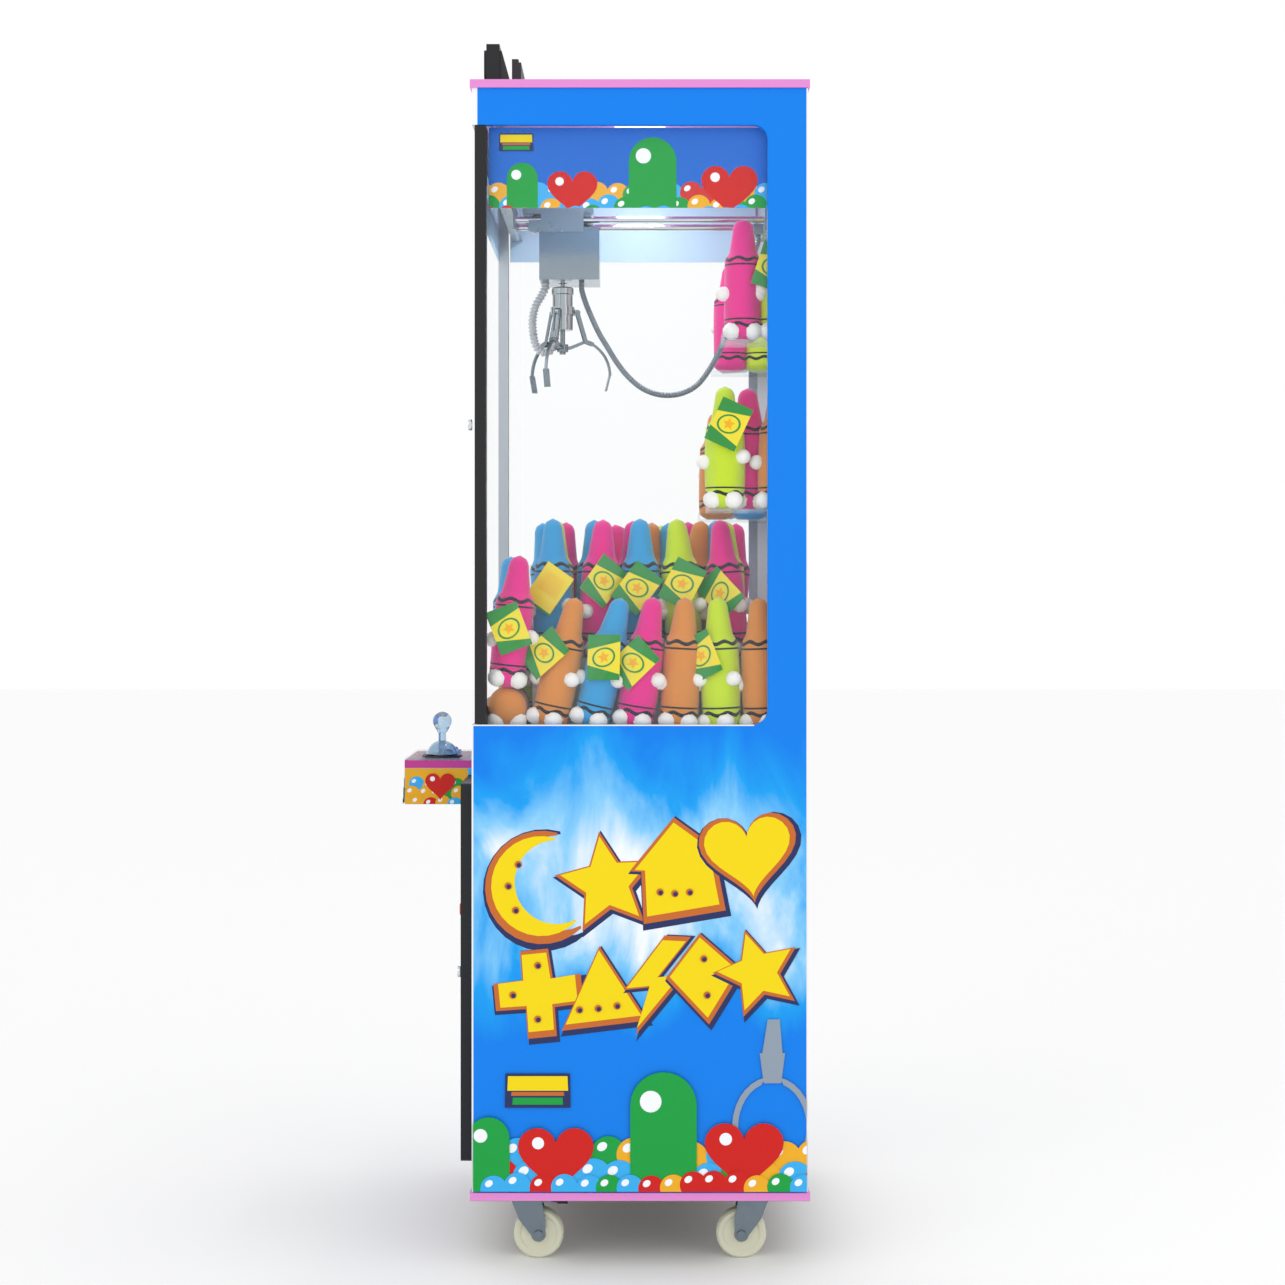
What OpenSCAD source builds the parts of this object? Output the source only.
// Claw crane machine: a free-standing cabinet on four casters, with a glazed
// prize cabin above and a service cabinet below.
// Frame: millimetres, +Z up, the front faces -Y, the right side is +X.
// Origin: on the floor, at the centre of the machine's outer box.

/* [Cabinet] */
// Width over the two side panels
cab_w = 600; // [590:2:610]
// Depth from the front plane to the back plane
cab_d = 500; // [496:2:506]
// Thickness of the side, rear and lower front panels
panel_t = 12; // [10:1:13]
// Overhang of the roof cap and the base board round the cabinet
cap_lip = 3; // [2:1:5]
// Height of the sill below the windows
sill_z = 808; // [806:1:809]
// Height of the top of the windows
window_top_z = 1701; // [1699:1:1703]
// Radius of the two rear corners of each side window
window_r = 22; // [10:1:30]
// Depth of the front door, glass and frame together
door_t = 21; // [19:1:21]
// Thickness of the glass and the clear sheets
glass_t = 5; // [4:1:5]

/* [Base and roof] */
// Height of the underside of the base board above the floor
base_z = 100; // [100:1:100]
// Thickness of the base board and of the roof cap
board_t = 12; // [12:1:12]
// Height of the underside of the roof cap
roof_z = 1756; // [1754:1:1760]
// Width of the sign on the roof
topper_w = 500; // [460:10:540]
// Height of the sign on the roof
topper_h = 65; // [50:5:80]

/* [Service door and control box] */
// Width of the lower front door
service_w = 520; // [516:2:522]
// Height of the lower front door
service_h = 570; // [568:1:572]
// Thickness of the lower front door
service_t = 20; // [18:1:20]
// Width of the control box
control_w = 214; // [210:2:220]
// Reach of the control box in front of the cabinet
control_reach = 120; // [116:2:120]
// Height of the top of the control box
control_top_z = 744; // [743:1:746]
// Radius of the joystick's dome
dome_r = 25.5; // [25:0.5:26]
// Diameter of the joystick's knob
knob_d = 30; // [28:1:32]

/* [Gantry and claw] */
// Height of the two rods that the trolley runs on
rod_z = 1602; // [1602:1:1602]
// Radius of the rods
rod_r = 5; // [5:0.5:5]
// Half of the distance between the rods
rod_x = 40; // [40:1:40]
// Distance of the claw behind the front plane at rest
claw_y = 125; // [123:1:127]
// Radius of the claw's solenoid
coil_r = 16.5; // [16:0.5:17]

/* [Prizes] */
// Radius of a plush prize's body
plush_r = 25; // [22:1:25]
// Height of a plush prize
plush_h = 200; // [190:5:200]

/* [Casters] */
// Diameter of the wheels
wheel_d = 75; // [72:1:75]
// Width of the wheels
wheel_w = 24; // [22:1:25]
// Distance from the swivel axis to the wheel's axle
trail = 22; // [20:1:24]
// Distance of the swivel axes from the middle of the machine
caster_x = 240; // [220:5:245]

/* [Hidden] */
$fn = 48;
fit = 0.05;
gap = 1;
front_y = -(cab_d + cap_lip - control_reach) / 2;
back_y = front_y + cab_d;
half_w = cab_w / 2;
inner_x = half_w - panel_t;
panel_z = base_z + board_t;
deck_z = sill_z - panel_t;
notch_d = cab_d - 60;
rail_t = 8;

// Prize chute, at the front left
chute_x = [-262, -104];
chute_y = [front_y + 20, front_y + 184];
chute_wall = 4;

// Front door pivots
door_pivot = [-half_w + 6, front_y + 5];
pivot_r = 2.5;

// Service door
service_z = 147;
service_hinge = [-service_w / 2 - 4.6, front_y - 5];
opening_x = 245;
opening_z = [160, 700];
flap_x = [-239, -111];
flap_z = [236, 388];
flap_pin_z = 384;
coin_x = 170;
coin_z = 480;

// Control box
box_z = 672;
lid_z = 729;
plate_t = 3;
stick = [58, front_y - 65];
stick_z = control_top_z;
button = [-48, front_y - 62];

// Gantry: rails, rollers and end plates
rail_z = 1615;
rail_x = 280;
rail_front_y = front_y + 28;
rail_rear_y = back_y - 28;
end_plate = [48, 449];

// Trolley
trolley_y = front_y + claw_y;
winch_z = [1505, 1589];
axle_z = rod_z + rod_r + 8.3;

// Claw
claw_dirs = [342, 102, 222];
pivot_rz = [23.8, 1458];
knee_rz = [37.5, 1411.5];
link_rz = [13, 1401];
finger_arc = 58;
finger_centre = [20, 1357];

// Casters: position, and the direction in which each trails
caster_y = [front_y + 75, front_y + 425];
axle_h = wheel_d / 2;

// Trunk conduit: the route's points as [y from the front plane, z], in one plane
conduit_r = 4.5;
conduit_route = [
    [156, 1504.5], [156, 1494], [162, 1474], [171, 1452], [183, 1426], [196, 1404],
    [212, 1378], [230, 1355], [251, 1337], [273, 1327], [296, 1324], [320, 1328],
    [343, 1341], [362, 1365], [378, 1394], [392, 1428], [404, 1466], [416, 1506],
    [430, 1544], [439, 1566], [441, 1575], [441, 1584]];

// Coiled hose from the winch box to the foot of the solenoid
hose_r = 7;
hose_route = [
    [97, 1504.5], [97, 1498], [90, 1484], [81, 1468], [77, 1452], [76, 1438], [77, 1424],
    [81, 1410], [88, 1398], [97, 1393], [104, 1399], [110, 1410], [113, 1420], [113, 1429]];

// Prizes: [x, y from the front plane, z of the floor below, lean about X, lean about Y]
riser_z = 905;
plush_near = [
    [275, 50, 833, 0, -90], [250, 48, 859, -6, 0], [250, 112, 796, -12, 0],
    [250, 174, 796, -14, 0], [250, 240, 796, -9, 0], [250, 308, 796, -3, 0],
    [250, 374, 796, 2, 0], [250, 436, 796, 2, 0]];
plush_far = [
    [-250, 226, 796, 4, 0], [-250, 292, 796, 0, 0], [-250, 354, 796, -4, 0],
    [-250, 424, 796, 3, 0]];
plush_front = [
    [-72, 52, 796, 0, 0], [-14, 52, 796, 0, 2], [46, 52, 796, 0, 0], [122, 52, 859, 0, -2],
    [184, 52, 859, 0, 2]];
plush_top = [for (x = [190, 130, 70, 10, -50], k = [0:4])
    [x, 116 + 68 * k, riser_z, 3 * (1 - (k + round(abs(x) / 60)) % 3), 0]];
plush_left = [for (x = [-110, -172], k = [0:2])
    [x, 232 + 70 * k, riser_z, 5 * (1 - k), 0]];
plush_spots = concat(plush_near, plush_far, plush_front, plush_top, plush_left);
plush_shelf = [
    [244, 406, 1384], [244, 460, 1384], [258, 378, 1130], [226, 414, 1130],
    [258, 458, 1130], [-244, 406, 1384], [-244, 460, 1384], [-244, 382, 1130],
    [-244, 440, 1130]];

// Prize shelves in the two rear corners: [top face z, front edge from the front plane]
shelves = [[1384, 374], [1130, 350]];
shelf_x = [200, 280];
shelf_t = 4;

// ---------- helpers ----------

// Box between two opposite corners
module block(a, b) {
    translate(a) cube(b - a);
}

// Cylinder along X, Y or Z from a point
module rod_x(p, r, l) {
    translate(p) rotate([0, 90, 0]) cylinder(r = r, h = l);
}
module rod_y(p, r, l) {
    translate(p) rotate([-90, 0, 0]) cylinder(r = r, h = l);
}
module rod_z(p, r, l) {
    translate(p) cylinder(r = r, h = l);
}

// Rounded rectangle from a to b, with corner radius r, extruded by t along Y
module plate_y(a, b, r, y, t) {
    translate([0, y + t, 0]) rotate([90, 0, 0]) linear_extrude(t) round_rect(a, b, r);
}
module round_rect(a, b, r) {
    translate([a[0] + r, a[1]]) square([b[0] - a[0] - 2 * r, b[1] - a[1]]);
    translate([a[0], a[1] + r]) square([b[0] - a[0], b[1] - a[1] - 2 * r]);
    for (x = [a[0] + r, b[0] - r], y = [a[1] + r, b[1] - r]) translate([x, y]) circle(r);
}

// Flat bar with round ends between two points
module bar2d(p, q, r) {
    d = q - p;
    translate(p) rotate(atan2(d[1], d[0])) translate([0, -r]) square([norm(d), 2 * r]);
    translate(p) circle(r);
    translate(q) circle(r);
}

// Flat strip of half width r with one mitred bend, from p over k to just beyond t
function unit(v) = v / norm(v);
function left(v) = [-v[1], v[0]];
module elbow(p, k, t, r) {
    n1 = left(unit(k - p));
    n2 = left(unit(t - k));
    e = t + r * unit(t - k);
    m = r * (n1 + n2) / (1 + n1 * n2);
    polygon([p + r * n1, k + m, e + r * n2, e - r * n2, k - m, p - r * n1]);
}

// Extrudes a drawing in the [radius, height] plane, half_t to each side of it
module radial(half_t) {
    rotate([90, 0, 0]) linear_extrude(2 * half_t, center = true) children();
}

// Turns a claw piece to its direction round the claw's axis
module claw_dir(k) {
    translate([0, trolley_y, 0]) rotate(claw_dirs[k]) children();
}

// Tube swept along a route in the plane x = x0: 8 points a ring, flat ends
function tangent(route, k) =
    let (a = route[max(k - 1, 0)], b = route[min(k + 1, len(route) - 1)]) (b - a) / norm(b - a);
function ring(route, k, r, x0) =
    let (t = tangent(route, k)) [for (i = [0:7])
        [x0 + r * cos(45 * i), front_y + route[k][0] - t[1] * r * sin(45 * i),
         route[k][1] + t[0] * r * sin(45 * i)]];
module tube(route, r, x0) {
    n = len(route);
    polyhedron(
        points = [for (k = [0:n - 1]) each ring(route, k, r, x0)],
        faces = concat(
            [[for (i = [0:7]) i]], [[for (i = [7:-1:0]) 8 * (n - 1) + i]],
            [for (k = [0:n - 2], i = [0:7])
                [8 * k + i, 8 * k + 8 + i, 8 * k + 8 + (i + 1) % 8, 8 * k + (i + 1) % 8]]),
        convexity = 8);
}

// ---------- cabinet ----------

module base_board() {
    color("#e58bd3") block([-half_w - cap_lip, front_y - cap_lip, base_z],
        [half_w + cap_lip, back_y + cap_lip, panel_z]);
}

module caster_plates() {
    color("#6f7f8c") for (x = [-caster_x, caster_x], y = caster_y) {
        block([x - 36, y - 30, base_z - 3], [x + 36, y + 30, base_z]);
        rod_z([x, y, base_z - 16], 5, 13.5);
        for (dx = [-28, 28], dy = [-22, 22])
            translate([x + dx, y + dy, base_z - 6.5]) cylinder(r = 5.5, h = 3.6, $fn = 6);
    }
}

// Outline of a side panel in the [y, z] plane, with the window open to the front
module side_outline() {
    top = window_top_z;
    difference() {
        translate([front_y, panel_z]) square([cab_d, roof_z - panel_z]);
        translate([front_y - gap, sill_z]) square([notch_d - window_r + gap, top - sill_z]);
        translate([front_y, sill_z + window_r])
            square([notch_d, top - sill_z - 2 * window_r]);
        for (z = [sill_z + window_r, top - window_r])
            translate([front_y + notch_d - window_r, z]) circle(window_r);
        translate([front_y - gap, top - gap]) square([rail_t + gap, roof_z - top + 2 * gap]);
    }
}
module side_panel_right() {
    color("#0a84f0") translate([inner_x, 0, 0]) rotate([90, 0, 90])
        linear_extrude(panel_t) side_outline();
}
module side_panel_left() {
    color("#0a84f0") difference() {
        translate([-half_w, 0, 0]) rotate([90, 0, 90]) linear_extrude(panel_t) side_outline();
        rod_z([door_pivot[0], door_pivot[1], sill_z - 10], pivot_r + fit, 12);
    }
}

module rear_panel() {
    color("#0a84f0") difference() {
        block([-inner_x, back_y - panel_t, panel_z], [inner_x, back_y, roof_z]);
        for (k = [0:5], x = [-150, 150])
            block([x - 60, back_y - panel_t - 1, 600 + 20 * k],
                [x + 60, back_y + 1, 607 + 20 * k]);
        block([89, back_y - panel_t - 1, 171], [139, back_y + 1, 201]);
    }
}

module roof_cap() {
    color("#e58bd3") block([-half_w - cap_lip, front_y - cap_lip, roof_z],
        [half_w + cap_lip, back_y + cap_lip, roof_z + board_t]);
}

module front_top_rail() {
    color("#d8e6f4") difference() {
        block([-half_w, front_y, window_top_z], [half_w, front_y + rail_t, roof_z]);
        rod_z([door_pivot[0], door_pivot[1], window_top_z - 1], pivot_r + fit, 13);
    }
}

module front_lower_panel() {
    color("#0a84f0") {
        difference() {
            block([-inner_x, front_y, panel_z], [inner_x, front_y + panel_t, sill_z]);
            block([-opening_x, front_y - 1, opening_z[0]],
                [opening_x, front_y + panel_t + 1, opening_z[1]]);
        }
        // fixed knuckles and pins of the service door's hinges
        for (z = [220, 600]) {
            rod_z([service_hinge[0], service_hinge[1], z - 20], 1.5, 60);
            for (dz = [-20, 25]) {
                rod_z([service_hinge[0], service_hinge[1], z + dz], 4, 15);
                block([service_hinge[0] - 20, front_y - 2.5, z + dz],
                    [service_hinge[0], front_y, z + dz + 15]);
            }
        }
    }
}

module side_windows() {
    glass_y = front_y + door_t + gap;
    color("#dfeef8", 0.3) {
        block([inner_x - glass_t, glass_y, deck_z + 2],
            [inner_x, front_y + notch_d + 15, window_top_z + 11]);
        block([-inner_x, glass_y + 25, deck_z + 2],
            [-inner_x + glass_t, front_y + notch_d + 15, window_top_z + 11]);
        block([-inner_x, glass_y, deck_z + 2],
            [-inner_x + glass_t, glass_y + 23, window_top_z + 11]);
    }
}

// ---------- cabin ----------

module prize_deck() {
    color("#f2f2f0") {
        difference() {
            block([-inner_x, front_y + panel_t, deck_z - panel_t],
                [inner_x, back_y - panel_t, deck_z]);
            block([chute_x[0], chute_y[0], deck_z - panel_t - 1],
                [chute_x[1], chute_y[1], deck_z + 1]);
        }
        // raised middle of the deck, under the upper row of prizes
        block([-200, front_y + 200, deck_z], [216, front_y + 468, riser_z]);
        block([-84, front_y + 86, deck_z], [216, front_y + 200, riser_z]);
    }
}

module chute_guard() {
    color("#dfeef8", 0.4) {
        block([chute_x[1], chute_y[0] + 4, deck_z], [chute_x[1] + 4, chute_y[1] + 4, 1050]);
        block([-inner_x + glass_t + 1, chute_y[1], deck_z], [chute_x[1], chute_y[1] + 4, 1050]);
    }
}

module chute_duct() {
    w = chute_wall;
    color("#c8ccd0") difference() {
        block([chute_x[0] - w, chute_y[0] - w, 214],
            [chute_x[1] + w, chute_y[1] + w, deck_z - panel_t]);
        block([chute_x[0], chute_y[0], 218], [chute_x[1], chute_y[1], deck_z]);
        block([chute_x[0] + w, chute_y[0] - w - 1, 222],
            [chute_x[1] - w, chute_y[0] + 1, 404]);
    }
}

module prize_shelf(z, y0, side) {
    x0 = shelf_x[0];
    x1 = shelf_x[1];
    scale_x = side > 0 ? [0, 0, 0] : [1, 0, 0];
    mirror(scale_x) {
        block([x0, front_y + y0, z - shelf_t], [x1, back_y - panel_t, z]);
        block([x0, front_y + y0, z], [x1, front_y + y0 + 3, z + 12]);
        block([x0, back_y - panel_t - 3, z - 34], [x1, back_y - panel_t, z - shelf_t]);
    }
}
module prize_shelves() {
    color("#dfeef8", 0.4) for (s = shelves, side = [-1, 1]) prize_shelf(s[0], s[1], side);
}

module gantry_rail(y, side) {
    y1 = y + side * 3;
    y2 = y + side * 18;
    block([-rail_x, min(y, y1), rail_z], [rail_x, max(y, y1), rail_z + 30]);
    block([-rail_x, min(y1, y2), rail_z], [rail_x, max(y1, y2), rail_z + 3]);
    for (x = [-260, -130, 0, 130, 260])
        block([x - 12, min(y, y1), rail_z + 30], [x + 12, max(y, y1), roof_z]);
}
module gantry_rails() {
    color("#b8c4cc") {
        gantry_rail(rail_front_y, 1);
        gantry_rail(rail_rear_y, -1);
    }
}

module roof_lamp() {
    color("#ffffff") block([-200, front_y + 210, roof_z - 14], [200, front_y + 290, roof_z]);
}

// ---------- roof sign ----------

module topper_board() {
    z = roof_z + board_t;
    color("#101014") block([-topper_w / 2, front_y + 18, z],
        [topper_w / 2, front_y + 38, z + topper_h]);
    color("#c8ccd0") plate_y([-topper_w / 2 + 8, z + 14], [topper_w / 2 - 8, z + topper_h - 6],
        8, front_y + 14, 4);
}

module topper_brackets() {
    z = roof_z + board_t;
    color("#8a8f96") for (x = [-242, 0, 242]) translate([x - 4, 0, 0])
        rotate([90, 0, 90]) linear_extrude(8) difference() {
            translate([front_y + 38, z]) polygon([[0, 0], [17, 0], [17, 6], [3, 56], [0, 56]]);
            translate([front_y + 48, z]) circle(5);
        }
    color("#101014") block([-topper_w / 2 + 12, front_y + 56, z],
        [topper_w / 2 - 12, front_y + 66, z + 45]);
    color("#8a8f96") block([-topper_w / 2 + 12, front_y + 66, z],
        [topper_w / 2 - 12, front_y + 70, z + 40]);
}

// ---------- lower cabinet ----------

module power_unit() {
    y1 = back_y - panel_t;
    color("#b8bcc0") {
        block([60, y1 - 60, 130], [190, y1, 240]);
        block([90, y1, 172], [138, back_y + 1, 200]);
        plate_y([82, 166], [146, 206], 4, back_y, 2);
    }
}

module main_board() {
    y1 = back_y - panel_t;
    color("#1c7a3c") block([-90, y1 - 12, 300], [70, y1 - 10, 420]);
    color("#c8ccd0") {
        for (x = [-82, 62], z = [308, 412]) rod_y([x, y1 - 10, z], 3, 10);
        for (k = [0:3]) block([-76 + 34 * k, y1 - 24, 392], [-52 + 34 * k, y1 - 12, 402]);
        block([-30, y1 - 18, 330], [6, y1 - 12, 366]);
    }
}

module cash_box() {
    a = [20, front_y + 50, panel_z];
    b = [220, front_y + 250, panel_z + 130];
    color("#3c4248") difference() {
        block(a, b);
        block(a + [2, 2, 2], b + [-2, -2, 1]);
    }
}

// ---------- prizes ----------

// One plush prize, standing: a round body with a blunt cone on top
module plush(r = plush_r, h = plush_h) {
    rotate_extrude() polygon([[0, 0], [r - 4, 0], [r, 5], [r, h - 62], [r - 3, h - 56],
        [r - 15, h - 4], [r - 18, h], [0, h]]);
}
module plush_prizes() {
    color("#e8108c") {
        for (p = plush_spots)
            translate([p[0], front_y + p[1], p[2] + (abs(p[4]) > 45 ? 0 : lift(p))])
                rotate([p[3], p[4], 0]) plush();
        for (p = plush_shelf) translate([p[0], front_y + p[1], p[2] + 0.5])
            plush(h = plush_h - 15);
    }
}
function lift(p) = plush_r * (sin(abs(p[3])) + sin(abs(p[4]))) + 0.5;

// ---------- front door ----------

module front_door_frame() {
    z0 = sill_z + gap;
    z1 = window_top_z - gap;
    color("#101014") {
        difference() {
            block([-half_w, front_y + 4, z0], [half_w, front_y + door_t, z1]);
            block([-half_w + 25, front_y, z0 + 25], [half_w - 25, front_y + 30, z1 - 25]);
        }
        rod_z([door_pivot[0], door_pivot[1], z0 - 9], pivot_r, 9);
        rod_z([door_pivot[0], door_pivot[1], z1], pivot_r, 11);
    }
}

module front_door_glass() {
    color("#dfeef8", 0.3) block([-half_w, front_y, sill_z + 2],
        [half_w, front_y + 4, window_top_z - 2]);
}

// ---------- service door ----------

module service_door() {
    y0 = front_y - service_t;
    y1 = front_y - gap;
    color("#101014") {
        difference() {
            plate_y([-service_w / 2, service_z], [service_w / 2, service_z + service_h],
                10, y0, y1 - y0);
            block([flap_x[0] - 1, y0 - 1, flap_z[0] - 1], [flap_x[1] + 1, y1 + 1, flap_z[1] + 1]);
            block([coin_x - 34, y0 - 1, coin_z - 60], [coin_x + 34, y1 + 1, coin_z + 60]);
        }
        // moving knuckles of the hinges, clear of the fixed pins
        for (z = [220, 600]) difference() {
            union() {
                rod_z([service_hinge[0], service_hinge[1], z - 4.5], 4, 29);
                block([service_hinge[0], front_y - 9, z - 4.5], [-service_w / 2 + 1, front_y - 4,
                    z + 24.5]);
            }
            rod_z([service_hinge[0], service_hinge[1], z - 6], 1.5 + fit, 32);
        }
        // small eyes that hold the prize flap's pin
        for (x = [flap_x[0] + 4, flap_x[1] - 10]) difference() {
            block([x, front_y - 12, flap_pin_z - 4], [x + 6, front_y - 4, flap_z[1] + 2]);
            rod_x([x - 1, front_y - 8, flap_pin_z], 1.5 + fit, 8);
        }
    }
}

module prize_flap() {
    x0 = flap_x[0];
    x1 = flap_x[1];
    color("#2a2a2e") {
        block([x0 + 1, front_y - 10, flap_z[0] + 1], [x1 - 1, front_y - 6, flap_pin_z - 6]);
        block([x0 + 12, front_y - 10, flap_pin_z - 6], [x1 - 12, front_y - 6, flap_pin_z]);
        rod_x([x0 + 3, front_y - 8, flap_pin_z], 1.5, x1 - x0 - 6);
    }
}

module coin_plate() {
    y0 = front_y - service_t;
    color("#c8ccd0") {
        difference() {
            plate_y([coin_x - 40, coin_z - 66], [coin_x + 40, coin_z + 66], 6, y0 - 3, 3);
            block([coin_x + 8, y0 - 4, coin_z + 20], [coin_x + 11, y0 + 1, coin_z + 48]);
            rod_y([coin_x - 14, y0 - 4, coin_z + 34], 9 + fit, 6);
            block([coin_x - 22, y0 - 4, coin_z - 54], [coin_x + 22, y0 + 1, coin_z - 14]);
        }
        // coin mechanism behind the plate, with the slot, the button and the cup let in
        difference() {
            block([coin_x - 30, y0, coin_z - 56], [coin_x + 30, y0 + 70, coin_z + 56]);
            block([coin_x + 7, y0 - 1, coin_z - 10], [coin_x + 12, y0 + 60, coin_z + 49]);
            rod_y([coin_x - 14, y0 - 1, coin_z + 34], 9 + fit, 19);
            block([coin_x - 22, y0 - 1, coin_z - 54], [coin_x + 22, y0 + 40, coin_z - 14]);
        }
    }
}

module coin_button() {
    color("#c81008") rod_y([coin_x - 14, front_y - service_t - 9, coin_z + 34], 9, 20);
}

// ---------- control box ----------

module control_box() {
    x = control_w / 2;
    y0 = front_y - control_reach;
    door_top = service_z + service_h + 1;
    color("#2fb4f5") difference() {
        union() {
            block([-x, y0, box_z], [x, front_y - service_t, lid_z]);
            block([-x, front_y - service_t, door_top], [x, front_y - gap, lid_z]);
        }
        block([-x + 3, y0 + 3, box_z + 3], [x - 3, front_y - service_t - 3, lid_z + 1]);
    }
}

module control_lid() {
    x = control_w / 2;
    y0 = front_y - control_reach;
    color("#c7218c") difference() {
        block([-x, y0, lid_z], [x, front_y - gap, control_top_z - plate_t]);
        block([-x + 17, y0 + 14, lid_z - 1], [x - 17, front_y - 22, control_top_z]);
    }
}

module control_plate() {
    x = control_w / 2;
    y0 = front_y - control_reach;
    color("#c8d4dc", 0.6) difference() {
        block([-x, y0, control_top_z - plate_t], [x, front_y - gap, control_top_z]);
        rod_z([stick[0], stick[1], control_top_z - plate_t - 1], dome_r + 2.8, plate_t + 2);
        rod_z([button[0], button[1], control_top_z - plate_t - 1], 16.3, plate_t + 2);
    }
}

// Joystick socket: a collar in the plate, a cup below it and two posts for the gimbal
module joystick_base() {
    z = control_top_z;
    r = dome_r + 2.5;
    color("#2a2a2e") translate([stick[0], stick[1], 0]) {
        difference() {
            union() {
                rod_z([0, 0, z], r + 4, 2);
                rod_z([0, 0, z - 50], r, 50);
            }
            rod_z([0, 0, z - 47], r - 1.5, 60);
        }
        for (s = [-1, 1]) difference() {
            union() {
                block([min(s * 17, s * 19.5), -3, z - 47.5], [max(s * 17, s * 19.5), 3, stick_z]);
                rod_x([min(s * 17, s * 19.5), 0, stick_z], 3, 2.5);
            }
            rod_x([min(s * 16, s * 20.5), 0, stick_z], 1.5 + fit, 4.5);
        }
    }
}

// Gimbal ring: turns about X in the posts, and holds the lever's pins along Y
module joystick_gimbal() {
    color("#c8ccd0") translate([stick[0], stick[1], stick_z]) {
        difference() {
            rod_z([0, 0, -3], 15, 6);
            rod_z([0, 0, -4], 11, 8);
            rod_y([0, -16, 0], 1.5 + fit, 32);
        }
        for (s = [-1, 1]) rod_x([min(s * 14, s * 19.4), 0, 0], 1.5, 5.4);
    }
}

// Lever: dome, stem and knob above, shaft below, on one pair of pins
module joystick_lever() {
    knob_r = knob_d / 2;
    color("#b8d8ee", 0.6) translate([stick[0], stick[1], stick_z]) {
        rotate_extrude() difference() {
            intersection() {
                circle(dome_r);
                translate([0, 4]) square([dome_r, dome_r]);
            }
            circle(dome_r - 2);
        }
        rotate_extrude() union() {
            translate([0, -40]) square([4.5, 44]);
            square([6, 46]);
            translate([0, 4]) square([9, 3]);
            polygon([[0, 36], [7.5, 38], [knob_r - 1.5, 50], [0, 56]]);
            intersection() {
                translate([0, 56]) circle(knob_r);
                translate([0, 40]) square([knob_r, 32]);
            }
        }
        rod_y([0, -14, 0], 1.5, 28);
        rod_z([0, 0, -40], 8, 3);
    }
}

module button_bezel() {
    z = control_top_z;
    color("#f0f0f0") translate([button[0], button[1], 0]) difference() {
        union() {
            rod_z([0, 0, z], 19, 4);
            rod_z([0, 0, z - 30], 16, 30);
        }
        rod_z([0, 0, z - 27], 14 + fit, 40);
    }
}

module drop_button() {
    z = control_top_z;
    color("#e03020") translate([button[0], button[1], z]) rotate_extrude()
        polygon([[0, -18], [14, -18], [14, 6], [12, 8], [6, 9], [0, 9]]);
}

// ---------- gantry ----------

module bridge_rods() {
    color("#e8ecf0") for (x = [-rod_x, rod_x])
        rod_y([x, front_y + end_plate[0] + 3, rod_z], rod_r, end_plate[1] - end_plate[0] - 3);
}

module bridge_carriage(y, side) {
    color("#b8c4cc") {
        block([-60, min(y, y + side * 3), rail_z - 31], [60, max(y, y + side * 3), rail_z + 29]);
        for (x = [-45, 45]) {
            rod_y([x, min(y, y - side * 12), rail_z + 12], 3, 12);
            rod_y([x, min(y - side * 4, y - side * 13), rail_z + 12], 8.7, 9);
        }
    }
}
module bridge_carriages() {
    bridge_carriage(front_y + end_plate[0], 1);
    bridge_carriage(front_y + end_plate[1] + 3, -1);
    // clip that holds the end of the conduit
    color("#2a2a2e") block([-8, front_y + 434, rail_z - 31], [8, front_y + end_plate[1],
        rail_z - 15]);
}

module trolley_roller(x, y) {
    rod_x([x - 7, y, axle_z], 10, 2.2);
    rod_x([x + 4.8, y, axle_z], 10, 2.2);
    rod_x([x - 4.8, y, axle_z], 8, 9.6);
}
module trolley_frame() {
    ys = [front_y + 72, front_y + 166];
    color("#b8c4cc") {
        for (y = ys) {
            rod_x([-53, y, axle_z], 3, 106);
            for (x = [-rod_x, rod_x]) trolley_roller(x, y);
        }
        for (x = [-51, 48]) {
            block([x, front_y + 66, axle_z - 5], [x + 3, front_y + 172, axle_z + 14]);
            block([x, front_y + 92, winch_z[1] - 8], [x + 3, front_y + 160, axle_z - 5]);
        }
        block([-51, front_y + 66, axle_z + 12], [51, front_y + 172, axle_z + 14]);
    }
    color("#101014") rod_x([48, front_y + 80, 1587], 9, 20);
    color("#b8c4cc") block([48, front_y + 74, 1581], [51, front_y + 96, 1599]);
}

module winch_box() {
    y0 = front_y + 89;
    y1 = front_y + 185;
    w = 1.5;
    color("#c8d0d8") difference() {
        block([-48, y0, winch_z[0]], [48, y1, winch_z[1]]);
        block([-48 + w, y0 + w, winch_z[0] + w], [48 - w, y1 - w, winch_z[1] + 1]);
        rod_z([0, trolley_y, winch_z[0] - 1], 7, 4);
    }
    color("#8a9098") for (s = [-1, 1]) difference() {
        block([min(s * 24, s * 27), y0 + 20, winch_z[0] + w],
            [max(s * 24, s * 27), y1 - 20, winch_z[0] + 60]);
        rod_x([min(s * 23, s * 28), trolley_y + 14, winch_z[0] + 40], 4 + fit, 5);
    }
}

// Drum that the claw's cord winds on, with its shaft in the two cheeks
module winch_spool() {
    color("#e0c070") translate([0, trolley_y + 14, winch_z[0] + 40]) {
        rod_x([-26.9, 0, 0], 4, 53.8);
        rod_x([-18, 0, 0], 14, 36);
        for (x = [-20, 18]) rod_x([x, 0, 0], 20, 2);
    }
}

// ---------- claw ----------

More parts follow.
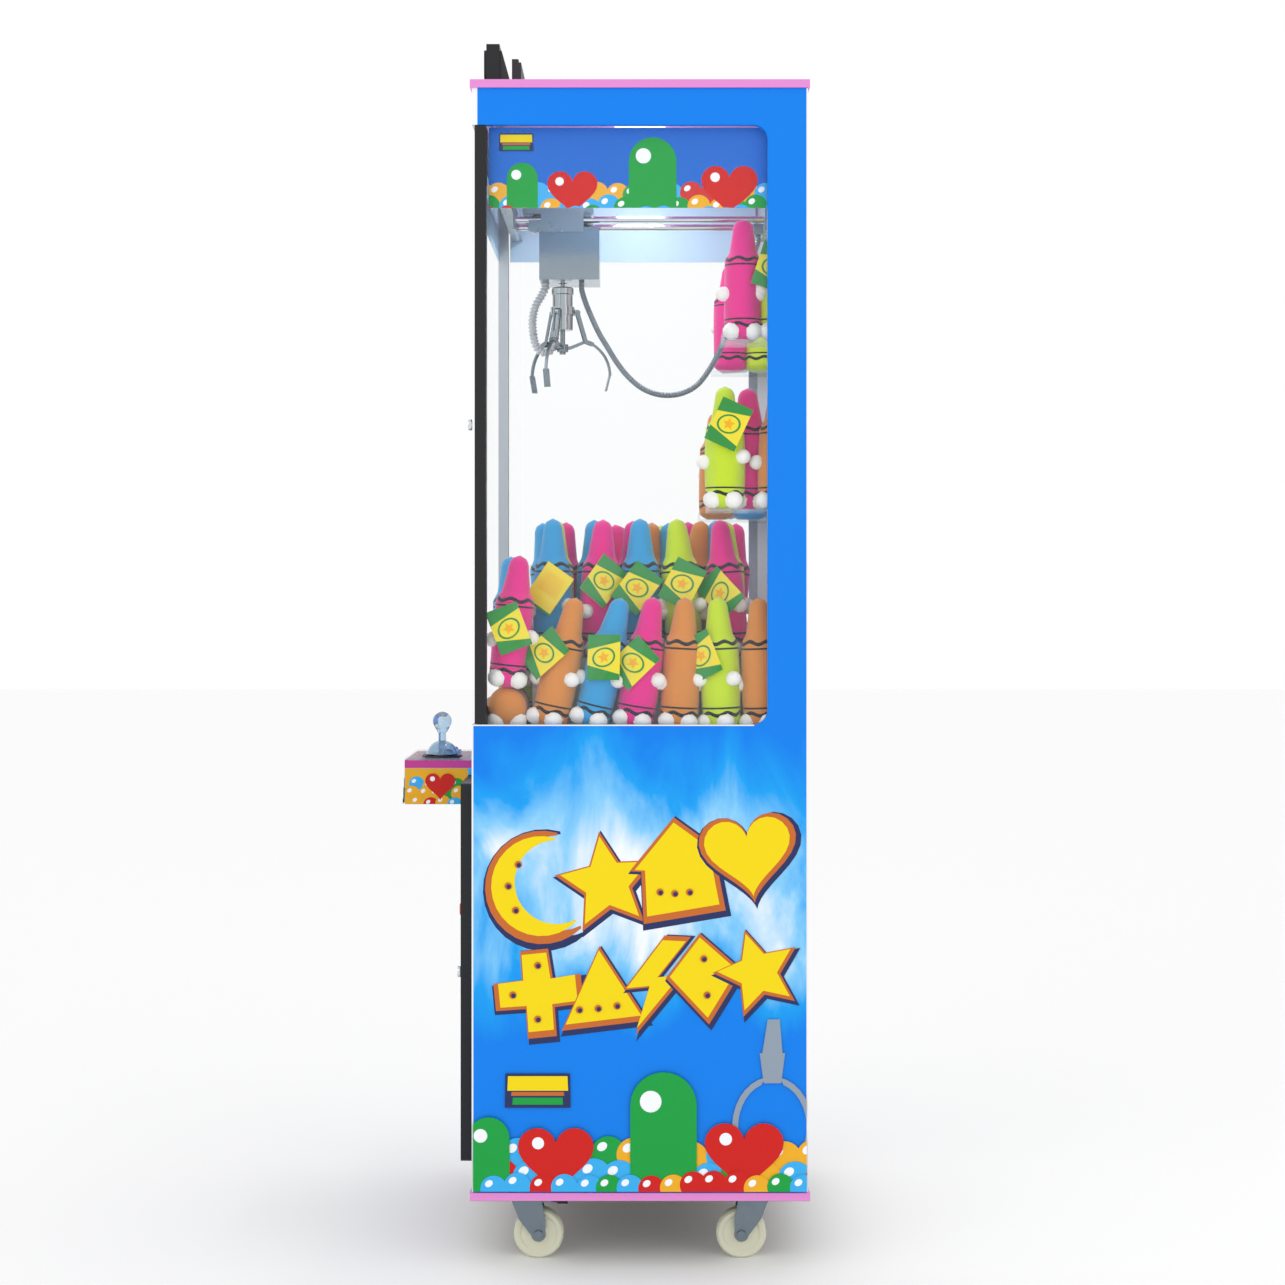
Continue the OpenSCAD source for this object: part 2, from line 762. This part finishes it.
module claw_coil() {
    color("#c8d0d8") {
        translate([0, trolley_y, 0]) difference() {
            rotate_extrude() polygon([[0, 1429], [coil_r, 1429], [coil_r, 1454], [19.5, 1454],
                [19.5, 1466], [coil_r, 1466], [coil_r, 1486], [18, 1487], [18, 1496], [16, 1498],
                [0, 1498]]);
            rod_z([0, 0, 1428], 4 + fit, 56);
        }
        translate([0, trolley_y, 1498]) cylinder(r = 3.5, h = 6);
        for (k = [0:2]) claw_dir(k) difference() {
            radial(3) union() {
                translate([17, 1453]) square([pivot_rz[0] - 17, 10]);
                translate(pivot_rz) circle(5);
            }
            rod_y([pivot_rz[0], -4, pivot_rz[1]], 2 + fit, 8);
        }
    }
}

module claw_hub() {
    color("#aab2ba") {
        rod_z([0, trolley_y, 1390], 5, 5);
        rod_z([0, trolley_y, 1394], 9, 12);
        rod_z([0, trolley_y, 1400], 4, 66);
        for (k = [0:2]) claw_dir(k) {
            for (y = [-4.5, 2.8]) translate([0, y + 1.7, 0]) rotate([90, 0, 0])
                linear_extrude(1.7) bar2d([7, 1400], link_rz, 2.6);
            rod_y([link_rz[0], -4.5, link_rz[1]], 1.5, 9);
        }
    }
}

// A finger: two side plates down to the knee, then a curved wire with a flat spoon at its end
module claw_finger(k) {
    start = 62;
    c = finger_centre;
    tail = c + finger_arc * [cos(start), sin(start)];
    color("#c8d0d8") claw_dir(k) {
        for (y = [-5.3, 3.5]) translate([0, y + 1.8, 0]) rotate([90, 0, 0])
            linear_extrude(1.8) union() {
                elbow(pivot_rz, knee_rz, tail, 3);
                translate(pivot_rz) circle(3.6);
            }
        radial(4.4) translate(tail) square(4, center = true);
        rod_y([pivot_rz[0], -6, pivot_rz[1]], 2, 12);
        radial(2) intersection() {
            difference() {
                translate(c) circle(finger_arc + 2);
                translate(c) circle(finger_arc - 2);
            }
            translate(c) polygon([[0, 0], [90, 0], [90, 90], [90 * cos(start), 90 * sin(start)]]);
        }
        radial(5) translate([c[0] + finger_arc, c[1] + 3]) rotate(-14)
            translate([-1.2, -29]) square([2.4, 29]);
    }
}

module claw_link(k) {
    color("#aab2ba") claw_dir(k) difference() {
        radial(2.4) bar2d(link_rz, knee_rz, 2.6);
        rod_y([link_rz[0], -4, link_rz[1]], 1.5 + fit, 8);
    }
}

// ---------- cables ----------

module trunk_conduit() {
    color("#9aa4ac") tube(conduit_route, conduit_r, 0);
}
module claw_hose() {
    color("#d4d8dc") tube(hose_route, hose_r, 0);
}

// ---------- casters ----------

// Places a caster's piece: at the front the wheels trail backwards, at the rear forwards
module at_caster(sx, row) {
    translate([sx * caster_x, caster_y[row], 0]) mirror([0, row, 0]) children();
}

module caster_fork() {
    top = base_z - 3.5;
    cheek = wheel_w / 2 + 2.5;
    difference() {
        union() {
            rod_z([0, 0, top - 4], 23, 4);
            block([-cheek - 2.5, -20, top - 8], [cheek + 2.5, 26, top - 4]);
        }
        rod_z([0, 0, top - 20], 5 + fit, 30);
    }
    for (x = [-cheek - 2.5, cheek]) translate([x, 0, 0]) rotate([90, 0, 90])
        linear_extrude(2.5) union() {
            polygon([[-20, top - 4], [26, top - 4], [33, axle_h + 20], [trail + 10, axle_h],
                [trail - 10, axle_h - 3], [-8, axle_h + 24]]);
            translate([trail, axle_h]) circle(11);
        }
    rod_x([-cheek - 6, trail, axle_h], 4, 2 * cheek + 12);
    for (x = [-cheek - 6.5, cheek + 2.5]) translate([x, trail, axle_h]) rotate([0, 90, 0])
        cylinder(r = 7, h = 4, $fn = 6);
}

// The braked fork adds two ears and a pin for its pedal
module braked_fork() {
    caster_fork();
    for (s = [-1, 1]) block([min(s * 9, s * 12), 24, 84], [max(s * 9, s * 12), 42, 92.5]);
    rod_x([-12, 38, 87], 1.5, 24);
}

module caster_wheel() {
    translate([0, trail, axle_h]) rotate([0, 90, 0]) rotate_extrude()
        polygon([[4 + fit, -wheel_w / 2], [12, -wheel_w / 2], [14, -wheel_w / 2 + 2],
            [26, -wheel_w / 2 + 3], [29, -wheel_w / 2 + 1], [axle_h - 3, -wheel_w / 2],
            [axle_h, -wheel_w / 2 + 4], [axle_h, wheel_w / 2 - 4], [axle_h - 3, wheel_w / 2],
            [29, wheel_w / 2 - 1], [26, wheel_w / 2 - 3], [14, wheel_w / 2 - 2],
            [12, wheel_w / 2], [4 + fit, wheel_w / 2]]);
}

module brake_pedal() {
    difference() {
        union() {
            rod_x([-8.5, 38, 87], 4, 17);
            block([-8.5, 38, 84], [8.5, 50, 89]);
            block([-14, 50, 83], [14, 66, 88]);
        }
        rod_x([-10, 38, 87], 1.5 + fit, 20);
    }
}

base_board();
caster_plates();
side_panel_right();
side_panel_left();
rear_panel();
roof_cap();
front_top_rail();
front_lower_panel();
side_windows();
prize_deck();
chute_guard();
chute_duct();
prize_shelves();
gantry_rails();
roof_lamp();
topper_board();
topper_brackets();
power_unit();
main_board();
cash_box();
plush_prizes();
front_door_frame();
front_door_glass();
service_door();
control_box();
control_lid();
control_plate();
coin_plate();
coin_button();
prize_flap();
joystick_base();
joystick_gimbal();
joystick_lever();
button_bezel();
drop_button();
bridge_rods();
bridge_carriages();
trolley_frame();
winch_box();
winch_spool();
claw_coil();
claw_hub();
claw_finger(0);  // claw_finger_a
claw_finger(1);  // claw_finger_b
claw_finger(2);  // claw_finger_c
claw_link(0);  // claw_link_a
claw_link(1);  // claw_link_b
claw_link(2);  // claw_link_c
trunk_conduit();
claw_hose();
color("#6f7f8c") at_caster(1, 0) braked_fork();  // caster_fork_fr
color("#6f7f8c") at_caster(-1, 0) braked_fork();  // caster_fork_fl
color("#6f7f8c") at_caster(1, 1) caster_fork();  // caster_fork_rr
color("#6f7f8c") at_caster(-1, 1) caster_fork();  // caster_fork_rl
color("#dcdcc4") at_caster(1, 0) caster_wheel();  // caster_wheel_fr
color("#dcdcc4") at_caster(-1, 0) caster_wheel();  // caster_wheel_fl
color("#dcdcc4") at_caster(1, 1) caster_wheel();  // caster_wheel_rr
color("#dcdcc4") at_caster(-1, 1) caster_wheel();  // caster_wheel_rl
color("#101014") at_caster(1, 0) brake_pedal();  // brake_pedal_right
color("#101014") at_caster(-1, 0) brake_pedal();  // brake_pedal_left
